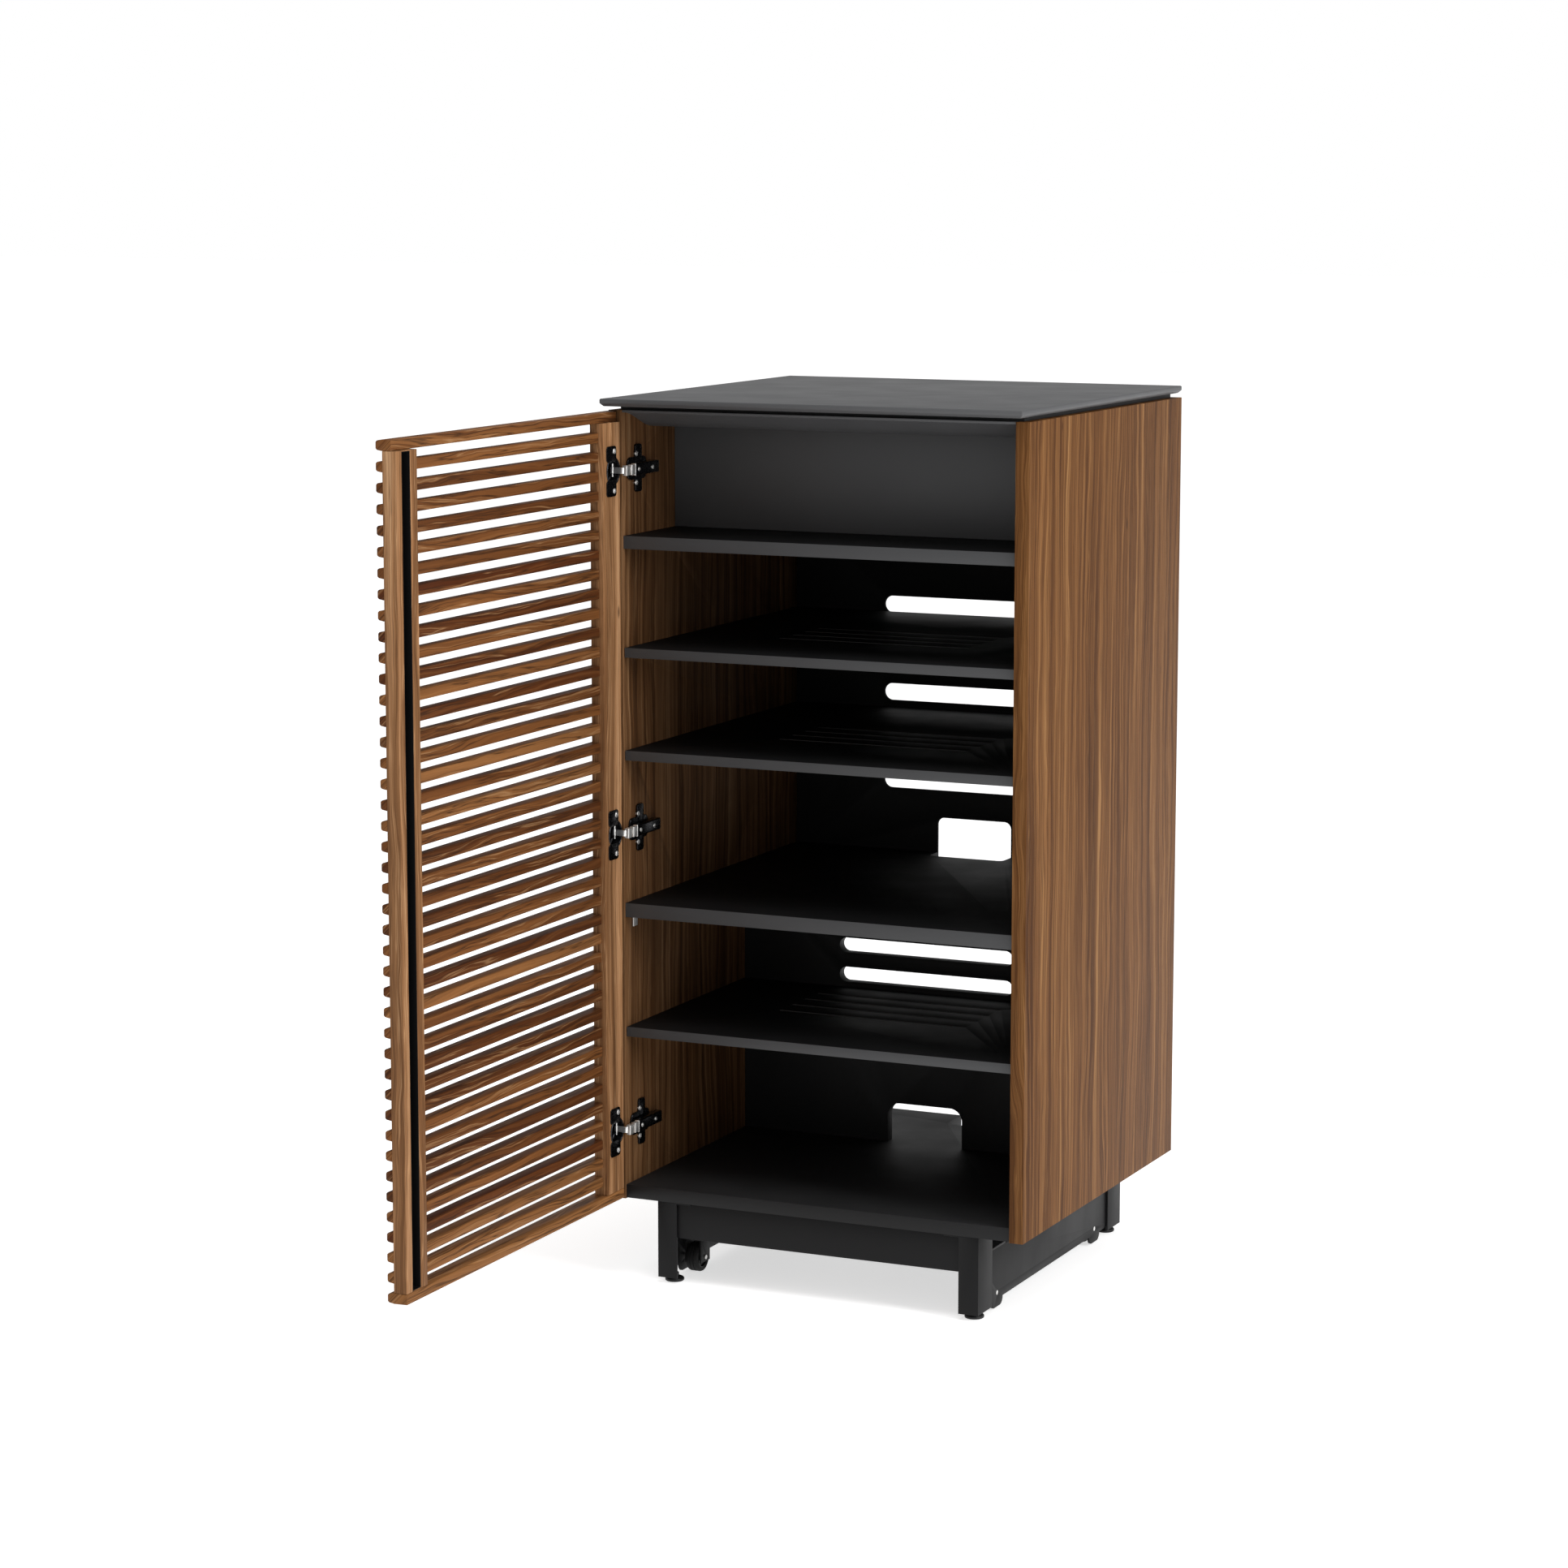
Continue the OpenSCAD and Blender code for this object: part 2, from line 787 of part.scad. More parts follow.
module door_stile_hinge() {
    r = stile_edge_r;
    color(walnut)
    difference() {
        union() {
            door_block([r, stile_w], [0, stile_t], [stile_low, stile_top]);
            door_block([0, r + eps], [r, stile_t], [stile_low, stile_top]);
            translate([door_x(r), door_y(r), stile_low]) cylinder(r = r, h = stile_top - stile_low);
        }
        for (z = hinge_zs)
            rod_x(door_x(cup_depth), door_x(-1), door_y(cup_w), z, cup_r);
        cup_screws();
    }
}

module door_stile_free() {
    color(walnut)
    difference() {
        door_block([door_w - stile_w, door_w], [0, stile_t], [stile_low, stile_top]);
        pull_cut();
    }
}

// The channel's recess in the free stile
module pull_cut() {
    door_block([door_w - pull_edge - pull_w, door_w - pull_edge], [-1, pull_depth],
               [stile_low + pull_margin, stile_top - pull_margin]);
}

// A black channel set in the free stile, to pull the door by
module finger_pull() {
    w = [door_w - pull_edge - pull_w, door_w - pull_edge];
    z = [stile_low + pull_margin, stile_top - pull_margin];
    color(black)
    difference() {
        door_block(w, [0.3, pull_depth], z);
        door_block([w[0] + pull_wall, w[1] - pull_wall], [-1, pull_depth - pull_wall],
                   [z[0] + pull_wall, z[1] - pull_wall]);
    }
}

// A slat's cross-section from one depth to the outer face; depth is drawn along -X
module slat_section(depth) {
    polygon([
        [-depth, -slat_half_in], [-stile_t, -slat_half_mid], [-door_t + slat_round, -slat_half_out],
        [-door_t, -slat_half_out + slat_round], [-door_t, slat_half_out - slat_round],
        [-door_t + slat_round, slat_half_out], [-stile_t, slat_half_mid], [-depth, slat_half_in]
    ]);
}

// A slat over the door's whole width
module slat_run(depth, z) {
    translate([-half_in, door_y(0), z]) rotate([90, 0, 0]) linear_extrude(height = door_w)
        slat_section(depth);
}

// A slat's ends are cut back to lap over the stiles' outer faces
module slat(z) {
    t = [slat_recess - 1, stile_t];
    zs = [z - slat_pitch / 2, z + slat_pitch / 2];
    difference() {
        slat_run(slat_recess, z);
        door_block([-1, stile_w], t, zs);
        door_block([door_w - stile_w, door_w + 1], t, zs);
    }
}

module door_slat_top() {
    color(walnut_dark) slat_run(slat_recess, door_z + (slat_count - 1) * slat_pitch);
}

// The bottom slat is as deep as the door, with a round edge that clears the side panel
module door_slat_bottom() {
    r = stile_edge_r;
    z = [door_z - slat_half_mid - 1, door_z + slat_half_mid + 1];
    color(walnut)
    difference() {
        slat_run(0, door_z);
        difference() {
            door_block([-1, r], [-1, r], z);
            translate([door_x(r), door_y(r), z[0]]) cylinder(r = r, h = z[1] - z[0]);
        }
    }
}

// Forty slats between the top and bottom ones, in five groups of eight
module door_slats(group) {
    per_group = (slat_count - 2) / slat_groups;
    color(walnut_dark)
    for (i = [1 : per_group]) slat(door_z + ((group - 1) * per_group + i) * slat_pitch);
}

// ---------- which node to draw ----------

side_panel(-1);  // side_panel_left
side_panel(1);  // side_panel_right
bottom_panel();
sub_top();
top_spacer();
top_slab();
shelf_upper_fixed();
shelf_middle_fixed();
for (i = [0 : 2])
    shelf_adjustable(loose_rows[i]);
back_panel_upper();
back_panel_lower();
rear_panel_upper();
rear_panel_middle();
shelf_pins();
shelf_brackets();
panel_dowels();
base_rail(false);  // base_rail_front
base_rail(true);  // base_rail_rear
base_rail_side(-1);  // base_rail_left
base_rail_side(1);  // base_rail_right
corner_plates();
wheel_brackets();
wheel_axles();
base_screws();
for (i = [0 : 3]) {
    leg(corner_signs[i]);
    leveller(corner_signs[i]);
    wheel(corner_signs[i]);
}
for (i = [0 : 2]) {
    hinge_arm(hinge_zs[i]);
    hinge_plate(hinge_zs[i]);
    hinge_cup(hinge_zs[i]);
}
hinge_pins();
hinge_plate_screws();
hinge_cup_screws();
door_stile_hinge();
door_stile_free();
finger_pull();
door_slat_top();
door_slat_bottom();
for (g = [1 : slat_groups])
    door_slats(g);
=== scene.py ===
"""The looks of a tall walnut cabinet with one louvred door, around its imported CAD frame."""

import json
import math

import bmesh
import bpy
from mathutils import Matrix, Vector


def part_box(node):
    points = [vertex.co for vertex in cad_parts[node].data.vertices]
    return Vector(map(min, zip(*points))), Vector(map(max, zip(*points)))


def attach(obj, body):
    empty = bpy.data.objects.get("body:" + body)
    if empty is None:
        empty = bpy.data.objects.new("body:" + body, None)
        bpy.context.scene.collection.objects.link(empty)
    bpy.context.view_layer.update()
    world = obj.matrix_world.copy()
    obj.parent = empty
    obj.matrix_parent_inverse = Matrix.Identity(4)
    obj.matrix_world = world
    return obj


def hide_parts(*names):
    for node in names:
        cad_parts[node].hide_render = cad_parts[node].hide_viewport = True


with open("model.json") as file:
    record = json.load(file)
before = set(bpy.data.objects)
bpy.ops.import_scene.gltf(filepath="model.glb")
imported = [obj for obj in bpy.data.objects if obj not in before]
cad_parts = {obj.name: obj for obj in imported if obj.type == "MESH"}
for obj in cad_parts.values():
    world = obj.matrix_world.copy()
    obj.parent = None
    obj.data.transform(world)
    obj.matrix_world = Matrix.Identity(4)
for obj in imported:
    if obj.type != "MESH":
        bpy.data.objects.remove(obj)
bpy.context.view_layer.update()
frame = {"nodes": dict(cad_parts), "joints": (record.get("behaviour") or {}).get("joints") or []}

MM = 0.001
CORNERS = ("front_left", "front_right", "rear_left", "rear_right")
HINGES = ("low", "mid", "top")

# The door as packed, open at a right angle
STILE_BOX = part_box("door_stile_hinge")
INNER_X = STILE_BOX[1].x
SLAT_PITCH = 25.4 * MM
SLAT_BASE = (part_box("door_slat_bottom")[0].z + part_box("door_slat_bottom")[1].z) / 2
PIVOT_X = frame["joints"][0]["pos_m"][0]


# ---------- node graphs ----------


class Graph:
    """A material's node tree, with short calls to add and join nodes."""

    def __init__(self, name):
        self.material = bpy.data.materials.new(name)
        self.material.use_nodes = True
        self.tree = self.material.node_tree
        self.shader = self.tree.nodes["Principled BSDF"]

    def add(self, kind, **settings):
        node = self.tree.nodes.new(kind)
        for key, value in settings.items():
            setattr(node, key, value)
        return node

    def join(self, output, socket):
        self.tree.links.new(output, socket)

    def feed(self, node, index, value):
        """Puts a number, a vector or another node's output into an input."""
        if isinstance(value, bpy.types.NodeSocket):
            self.join(value, node.inputs[index])
        else:
            node.inputs[index].default_value = value

    def math(self, operation, a, b=0.0, c=0.0):
        node = self.add("ShaderNodeMath", operation=operation)
        self.feed(node, 0, a)
        self.feed(node, 1, b)
        self.feed(node, 2, c)
        return node.outputs[0]

    def place(self):
        """The three coordinates on the object, in metres."""
        coordinates = self.add("ShaderNodeTexCoord")
        split = self.add("ShaderNodeSeparateXYZ")
        self.join(coordinates.outputs["Object"], split.inputs[0])
        return split.outputs

    def vector(self, x, y, z):
        node = self.add("ShaderNodeCombineXYZ")
        for index, value in enumerate((x, y, z)):
            self.feed(node, index, value)
        return node.outputs[0]

    def noise(self, vector, scale, detail=3.0, roughness=0.5, distortion=0.0):
        node = self.add("ShaderNodeTexNoise")
        self.join(vector, node.inputs["Vector"])
        node.inputs["Scale"].default_value = scale
        node.inputs["Detail"].default_value = detail
        node.inputs["Roughness"].default_value = roughness
        node.inputs["Distortion"].default_value = distortion
        return node.outputs["Fac"]

    def ramp(self, factor, stops):
        """Maps a factor through (position, colour) stops; a colour may be one grey number."""
        node = self.add("ShaderNodeValToRGB")
        elements = node.color_ramp.elements
        while len(elements) < len(stops):
            elements.new(0.5)
        for element, (position, colour) in zip(elements, stops):
            element.position = position
            element.color = (colour,) * 3 + (1,) if isinstance(colour, (int, float)) else (*colour, 1)
        self.join(factor, node.inputs[0])
        return node.outputs[0]

    def mix(self, factor, a, b, blend="MIX"):
        node = self.add("ShaderNodeMix", data_type="RGBA", blend_type=blend)
        self.feed(node, 0, factor)
        for index, value in ((6, a), (7, b)):
            self.feed(node, index, value if isinstance(value, bpy.types.NodeSocket) else (*value, 1))
        return node.outputs[2]

    def bump(self, height, strength, distance):
        node = self.add("ShaderNodeBump")
        node.inputs["Strength"].default_value = strength
        node.inputs["Distance"].default_value = distance
        self.join(height, node.inputs["Height"])
        self.join(node.outputs[0], self.shader.inputs["Normal"])


# ---------- materials ----------

# Walnut tones, from the darkest streak to the palest sapwood line
TONE_DARK = (0.030, 0.012, 0.005)
TONE_BROWN = (0.080, 0.031, 0.012)
TONE_MID = (0.135, 0.058, 0.022)
TONE_TAN = (0.230, 0.112, 0.045)
TONE_PALE = (0.360, 0.205, 0.095)
TONE_RED = (0.085, 0.025, 0.009)
VENEER = [
    (0.32, (0.060, 0.024, 0.008)), (0.43, (0.108, 0.047, 0.017)), (0.51, (0.150, 0.069, 0.026)),
    (0.60, (0.205, 0.102, 0.043)), (0.70, (0.310, 0.178, 0.085)),
]
STICKS = [(0.30, TONE_DARK), (0.41, TONE_BROWN), (0.50, TONE_MID), (0.60, TONE_TAN), (0.72, TONE_PALE)]


def grain(graph, along, across, through, seed, density, tones):
    """Walnut colour, height and shifted across-board place: streaks that wander as they run along."""
    slow = graph.vector(graph.math("MULTIPLY", along, 2.2), graph.math("MULTIPLY", across, 9.0), seed)
    wander = graph.noise(slow, 1.0, 2.0)
    shift = graph.math("MULTIPLY_ADD", wander, 0.05, across)
    quick = graph.vector(graph.math("MULTIPLY", along, 13.0), graph.math("MULTIPLY", across, 40.0), seed)
    shift = graph.math("MULTIPLY_ADD", graph.noise(quick, 1.0, 2.0), 0.008, shift)
    stretched = graph.math("MULTIPLY", along, 0.9)
    streak = graph.noise(
        graph.vector(stretched, graph.math("MULTIPLY", shift, density), graph.math("ADD", through, seed)),
        1.0, 5.0, 0.62, 0.25,
    )
    tone = graph.ramp(streak, tones)
    fine = graph.noise(
        graph.vector(graph.math("MULTIPLY", along, 4.0), graph.math("MULTIPLY", shift, density * 7),
                     graph.math("ADD", through, seed)),
        1.0, 4.0, 0.6,
    )
    tone = graph.mix(0.45, tone, graph.ramp(fine, [(0.3, 0.25), (0.5, 0.5), (0.7, 0.8)]), "OVERLAY")
    pores = graph.noise(
        graph.vector(graph.math("MULTIPLY", along, 45.0), graph.math("MULTIPLY", shift, 1500.0),
                     graph.math("MULTIPLY", through, 1500.0)),
        1.0, 2.0,
    )
    open_pore = graph.ramp(pores, [(0.60, 0.0), (0.72, 1.0)])
    tone = graph.mix(graph.math("MULTIPLY", open_pore, 0.35), tone, TONE_DARK)
    raised = graph.math("MULTIPLY", fine, 0.6)
    height = graph.math("SUBTRACT", raised, graph.math("MULTIPLY", open_pore, 0.5))
    return tone, height, shift


def figure(graph, tone, along, shift, seed, density, dark, pale):
    """Thin dark and pale growth lines, drawn over a board's streaks. dark and pale are their strengths."""
    rings = graph.noise(
        graph.vector(graph.math("MULTIPLY", along, 3.0), graph.math("MULTIPLY", shift, density),
                     graph.math("ADD", seed, 7.3)),
        1.0, 3.0, 0.55,
    )
    dark_line = graph.ramp(rings, [(0.455, 0.0), (0.49, 1.0), (0.515, 0.0)])
    tone = graph.mix(graph.math("MULTIPLY", dark_line, dark), tone, TONE_DARK)
    pale_line = graph.ramp(rings, [(0.56, 0.0), (0.585, 1.0), (0.61, 0.0)])
    return graph.mix(graph.math("MULTIPLY", pale_line, pale), tone, TONE_PALE)


def finish_wood(graph, colour, height, roughness=0.5):
    graph.join(colour, graph.shader.inputs["Base Color"])
    graph.join(graph.ramp(height, [(0.0, roughness + 0.12), (0.8, roughness)]),
               graph.shader.inputs["Roughness"])
    graph.shader.inputs["Specular IOR Level"].default_value = 0.08
    graph.bump(height, 0.25, 0.0004)
    return graph.material


def walnut_upright(name, seed, density=105.0, tint=(1.0, 1.0, 1.0)):
    """A board whose grain stands upright, with a few small dark knots."""
    graph = Graph(name)
    x, y, z = graph.place()
    side = graph.math("ADD", x, y)
    through = graph.math("MULTIPLY", graph.math("SUBTRACT", x, y), 3.0)
    colour, height, shift = grain(graph, z, side, through, seed, density, VENEER)
    colour = figure(graph, colour, z, shift, seed, density * 2.2, 0.4, 0.4)
    knots = graph.add("ShaderNodeTexVoronoi", feature="F1")
    graph.join(graph.vector(graph.math("MULTIPLY", z, 3.3), graph.math("MULTIPLY", side, 9.0), seed),
               knots.inputs["Vector"])
    knots.inputs["Scale"].default_value = 1.0
    near = graph.ramp(knots.outputs["Distance"], [(0.0, 0.85), (0.018, 0.6), (0.035, 0.0)])
    colour = graph.mix(near, colour, TONE_DARK)
    colour = graph.mix(1.0, colour, tint, "MULTIPLY")
    return finish_wood(graph, colour, height)


def walnut_slats(name):
    """Each slat is its own stick: its tone, its grain and the grain's slope change from slat to slat."""
    graph = Graph(name)
    x, y, z = graph.place()
    index = graph.math("ROUND", graph.math("DIVIDE", graph.math("SUBTRACT", z, SLAT_BASE), SLAT_PITCH))
    pick = graph.add("ShaderNodeTexWhiteNoise", noise_dimensions="1D")
    graph.join(graph.math("ADD", index, 0.37), pick.inputs["W"])
    parts = graph.add("ShaderNodeSeparateColor")
    graph.join(pick.outputs["Color"], parts.inputs[0])
    tone_pick, slope_pick, seed_pick = parts.outputs
    slope = graph.math("MULTIPLY", graph.math("SUBTRACT", slope_pick, 0.5), 0.05)
    across = graph.math("MULTIPLY_ADD", y, slope, graph.math("SUBTRACT", z, x))
    seed = graph.math("MULTIPLY", seed_pick, 40.0)
    colour, height, shift = grain(graph, y, across, graph.math("MULTIPLY", x, 4.0), seed, 130.0, STICKS)
    body = graph.ramp(tone_pick, [
        (0.0, TONE_RED), (0.25, TONE_BROWN), (0.5, TONE_MID), (0.78, TONE_TAN), (1.0, TONE_PALE),
    ])
    colour = graph.mix(0.6, colour, body)
    colour = graph.mix(1.0, colour, (0.80, 0.64, 0.48), "MULTIPLY")
    colour = figure(graph, colour, y, shift, seed, 120.0, 0.85, 0.5)
    return finish_wood(graph, colour, height, 0.45)


def satin_black(name, colour, roughness, speck=0.02, shine=0.5):
    """Black laminate, lacquer or powder coat: an even colour with a fine orange-peel bump."""
    graph = Graph(name)
    coordinates = graph.add("ShaderNodeTexCoord")
    peel = graph.noise(coordinates.outputs["Object"], 900.0, 3.0, 0.6)
    cloud = graph.noise(coordinates.outputs["Object"], 14.0, 3.0)
    shade = [max(0.0, channel * (1 - 8 * speck)) for channel in colour]
    graph.join(graph.ramp(cloud, [(0.3, shade), (0.7, colour)]), graph.shader.inputs["Base Color"])
    graph.join(graph.ramp(cloud, [(0.3, roughness - 0.04), (0.7, roughness + 0.05)]),
               graph.shader.inputs["Roughness"])
    graph.shader.inputs["Specular IOR Level"].default_value = shine
    graph.bump(peel, 0.12, 0.0002)
    return graph.material


def metal(name, colour, roughness):
    """Plated metal with faint brush marks and a few dull patches."""
    graph = Graph(name)
    coordinates = graph.add("ShaderNodeTexCoord")
    marks = graph.noise(coordinates.outputs["Object"], 420.0, 4.0, 0.65)
    patches = graph.noise(coordinates.outputs["Object"], 60.0, 2.0)
    dull = [channel * 0.82 for channel in colour]
    graph.join(graph.ramp(patches, [(0.35, dull), (0.65, colour)]), graph.shader.inputs["Base Color"])
    graph.join(graph.ramp(marks, [(0.3, roughness), (0.7, roughness + 0.12)]),
               graph.shader.inputs["Roughness"])
    graph.shader.inputs["Metallic"].default_value = 1.0
    graph.bump(marks, 0.08, 0.0001)
    return graph.material


side_wood = walnut_upright("walnut_side", 3.1, 105.0, (0.80, 0.71, 0.55))
side_wood_left = walnut_upright("walnut_side_left", 17.4, 105.0, (0.74, 0.74, 0.76))
stile_wood = walnut_upright("walnut_stile", 8.6, 70.0, (1.55, 1.62, 1.8))
slat_wood = walnut_slats("walnut_slat")
board_black = satin_black("board_black", (0.011, 0.0112, 0.012), 0.6, 0.02, 0.25)
floor_board = satin_black("bottom_board", (0.018, 0.0182, 0.019), 0.6, 0.02, 0.2)
shelf_black = satin_black("shelf_laminate", (0.005, 0.0051, 0.0055), 0.6, 0.02, 0.15)
# Painted light: the shelves' forward faces get this grey, far lighter than the shelf black, for the light
# that falls on the fronts
shelf_front_painted_light = satin_black("shelf_front_painted_light", (0.042, 0.043, 0.045), 0.5, 0.01, 0.4)
# A darker black on the bottom panel's forward faces than on the rest of it
bottom_front_darker = satin_black("bottom_front_darker", (0.010, 0.010, 0.0105), 0.5, 0.02, 0.2)
# Mid grey: the sub-top's colour, and painted light on the upper back panel, which the shallow top bay lets
# more light reach
soffit_grey_and_painted_light = satin_black("soffit_grey_and_painted_light", (0.070, 0.071, 0.074), 0.55, 0.01)
slab_black = satin_black("slab_lacquer", (0.060, 0.061, 0.064), 0.5, 0.005)
steel_black = satin_black("powder_coat", (0.0065, 0.0065, 0.007), 0.5, 0.03, 0.16)
plastic_black = satin_black("moulded_plastic", (0.009, 0.009, 0.0095), 0.45, 0.02, 0.3)
rubber_black = satin_black("wheel_rubber", (0.010, 0.010, 0.010), 0.7, 0.02, 0.25)
pull_black = satin_black("pull_black", (0.002, 0.002, 0.0022), 0.5, 0.02, 0.1)
# The second material for the faces that point forward: painted light on the shelves, a darker black on the
# bottom panel
FORWARD_FACE_MATERIALS = {shelf_black: shelf_front_painted_light, floor_board: bottom_front_darker}
nickel = metal("nickel_plate", (0.90, 0.89, 0.87), 0.38)
black_nickel = metal("black_nickel", (0.045, 0.045, 0.05), 0.22)
beech = walnut_upright("beech", 30.0, 90.0, (3.6, 4.8, 7.0))


# ---------- mesh building ----------

# Faces larger than this, in square metres, or square to an axis are panel faces and are shaded flat
FLAT_AREA = 0.002
SQUARE_ON = 0.99999
# Faces whose normal points this far forward take the front material: painted light on the shelves' front
# faces, a darker black on the bottom panel's
FRONT_NORMAL_Y = -0.6
SHARP_ANGLE = math.radians(35)
BEVEL_ANGLE = math.radians(32)
WELD_DISTANCE = 0.00001
COPLANAR_ANGLE = math.radians(0.6)
# The cross rails stop a steel's thickness under the bottom panel; a folded lip closes the slit
RAIL_LIFT = 2.8 * MM
CROSS_RAILS = ("base_rail_front", "base_rail_rear")


def add_object(name, mesh, material, body, replaced=(), front=None):
    """Makes a piece from a mesh, on a body, in a material slot. front is the material of the faces that
    point forward: painted light on the shelves, a darker black on the bottom panel.
    """
    mesh.materials.clear()
    mesh.materials.append(material)
    if front:
        mesh.materials.append(front)
    for polygon in mesh.polygons:
        square_on = max(abs(part) for part in polygon.normal) > SQUARE_ON
        polygon.use_smooth = not square_on and polygon.area < FLAT_AREA
        polygon.material_index = int(bool(front) and polygon.normal.y < FRONT_NORMAL_Y)
    mesh.set_sharp_from_angle(angle=SHARP_ANGLE)
    piece = bpy.data.objects.new(name, mesh)
    bpy.context.scene.collection.objects.link(piece)
    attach(piece, body)
    if replaced:
        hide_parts(*replaced)
    return piece


def settle(name, mesh, *modifiers):
    """The mesh after the given modifiers, each a (kind, settings) pair."""
    holder = bpy.data.objects.new(name + "_work", mesh)
    bpy.context.scene.collection.objects.link(holder)
    for kind, settings in modifiers:
        modifier = holder.modifiers.new(kind.lower(), kind)
        for key, value in settings.items():
            setattr(modifier, key, value)
    graph = bpy.context.evaluated_depsgraph_get()
    done = bpy.data.meshes.new_from_object(holder.evaluated_get(graph))
    done.name = name
    bpy.data.objects.remove(holder)
    return done


def bevel_by(width):
    """A two-segment bevel of the sharp edges, for settle()."""
    return ("BEVEL", {
        "width": width, "segments": 2, "limit_method": "ANGLE",
        "angle_limit": BEVEL_ANGLE, "use_clamp_overlap": True,
    })


def eased(node, width, material, body, front=None, lift=0.0):
    """A CAD node with its sharp edges eased, and its top face raised by lift to meet what is above."""
    bm = bmesh.new()
    bm.from_mesh(frame["nodes"][node].data)
    bmesh.ops.remove_doubles(bm, verts=bm.verts, dist=WELD_DISTANCE)
    bmesh.ops.dissolve_limit(bm, angle_limit=COPLANAR_ANGLE, verts=bm.verts, edges=bm.edges)
    top = max(vert.co.z for vert in bm.verts) - 0.05 * MM
    for vert in bm.verts:
        vert.co.z += lift if vert.co.z > top else 0.0
    mesh = bpy.data.meshes.new(node + "_eased")
    bm.to_mesh(mesh)
    bm.free()
    mesh = settle(node + "_eased", mesh, bevel_by(width))
    return add_object(node + "_eased", mesh, material, body, [node], front)


def lathe(bm, profile, steps=32, matrix=Matrix()):
    """Adds a solid of revolution about Z; profile is (radius, height) points, closed at the axis."""
    rings = []
    for radius, height in profile:
        if radius < 1e-7:
            rings.append([bm.verts.new(matrix @ Vector((0, 0, height)))])
            continue
        ring = []
        for i in range(steps):
            a = 2 * math.pi * i / steps
            ring.append(bm.verts.new(matrix @ Vector((radius * math.cos(a), radius * math.sin(a), height))))
        rings.append(ring)
    pairs = list(zip(rings, rings[1:]))
    if len(rings[0]) > 1 and len(rings[-1]) > 1:
        pairs.append((rings[-1], rings[0]))
    for low, high in pairs:
        for i in range(steps):
            j = (i + 1) % steps
            corners = [low[i % len(low)], low[j % len(low)], high[j % len(high)], high[i % len(high)]]
            corners = list(dict.fromkeys(corners))
            if len(corners) > 2:
                bm.faces.new(corners)


def prism(bm, outline, depth, matrix=Matrix()):
    """Adds an outline in XY, drawn anticlockwise, extruded from z = 0 to depth."""
    low = [bm.verts.new(matrix @ Vector((x, y, 0))) for x, y in outline]
    high = [bm.verts.new(matrix @ Vector((x, y, depth))) for x, y in outline]
    bm.faces.new(list(reversed(low)))
    bm.faces.new(high)
    for i in range(len(outline)):
        j = (i + 1) % len(outline)
        bm.faces.new([low[i], low[j], high[j], high[i]])


def round_rectangle(width, height, radius, steps=6):
    """A rectangle's outline, centred, with round corners."""
    points = []
    for quarter, (sx, sy) in enumerate(((1, 1), (-1, 1), (-1, -1), (1, -1))):
        for i in range(steps + 1):
            a = math.pi / 2 * (quarter + i / steps)
            points.append((sx * (width / 2 - radius) + radius * math.cos(a),
                           sy * (height / 2 - radius) + radius * math.sin(a)))
    return points


def to_mesh(name, bm):
    bmesh.ops.recalc_face_normals(bm, faces=bm.faces)
    mesh = bpy.data.meshes.new(name)
    bm.to_mesh(mesh)
    bm.free()
    return mesh


def facing(direction, origin):
    """A frame whose Z points along a direction, from an origin."""
    return Matrix.Translation(origin) @ Vector(direction).to_track_quat("Z", "Y").to_matrix().to_4x4()


# ---------- panels, shelves and base: CAD shapes with eased edges ----------

PANELS = {
    "side_panel_left": (0.8, side_wood_left, "walnut_panel"),
    "side_panel_right": (0.8, side_wood, "walnut_panel"),
    "bottom_panel": (0.6, floor_board, "black_board"),
    "sub_top": (0.4, soffit_grey_and_painted_light, "black_board"),
    "top_spacer": (0.4, board_black, "black_board"),
    "top_slab": (0.7, slab_black, "top_lacquer"),
    "shelf_upper_fixed": (0.6, shelf_black, "black_board"),
    "shelf_middle_fixed": (0.6, shelf_black, "black_board"),
    "shelf_adjustable_1": (0.6, shelf_black, "black_board"),
    "shelf_adjustable_2": (0.6, shelf_black, "black_board"),
    "shelf_adjustable_3": (0.6, shelf_black, "black_board"),
    # Painted light: the upper back panel takes the mid grey for the extra light in the shallow top bay; the
    # lower back panel stays black
    "back_panel_upper": (0.5, soffit_grey_and_painted_light, "black_board"),
    "back_panel_lower": (0.5, board_black, "black_board"),
    "rear_panel_upper": (0.4, board_black, "black_board"),
    "rear_panel_middle": (0.4, board_black, "black_board"),
    "base_rail_front": (0.8, steel_black, "base_steel"),
    "base_rail_rear": (0.8, steel_black, "base_steel"),
    "base_rail_left": (0.8, steel_black, "base_steel"),
    "base_rail_right": (0.8, steel_black, "base_steel"),
    "corner_plates": (0.6, steel_black, "base_steel"),
    "wheel_brackets": (0.5, steel_black, "base_steel"),
    "shelf_brackets": (0.4, nickel, "nickel"),
    "shelf_pins": (0.4, nickel, "nickel"),
}
PANELS.update({f"leg_{corner}": (1.0, steel_black, "base_steel") for corner in CORNERS})

DOOR_PARTS = {
    "door_stile_hinge": (0.9, stile_wood, "walnut_stiles"),
    "door_stile_free": (0.9, stile_wood, "walnut_stiles"),
    "door_slat_top": (0.9, slat_wood, "walnut_slats"),
    "door_slat_bottom": (0.9, slat_wood, "walnut_slats"),
    "finger_pull": (0.25, pull_black, "pull_black"),
}
DOOR_PARTS.update({f"door_slats_{n}": (0.9, slat_wood, "walnut_slats") for n in range(1, 6)})

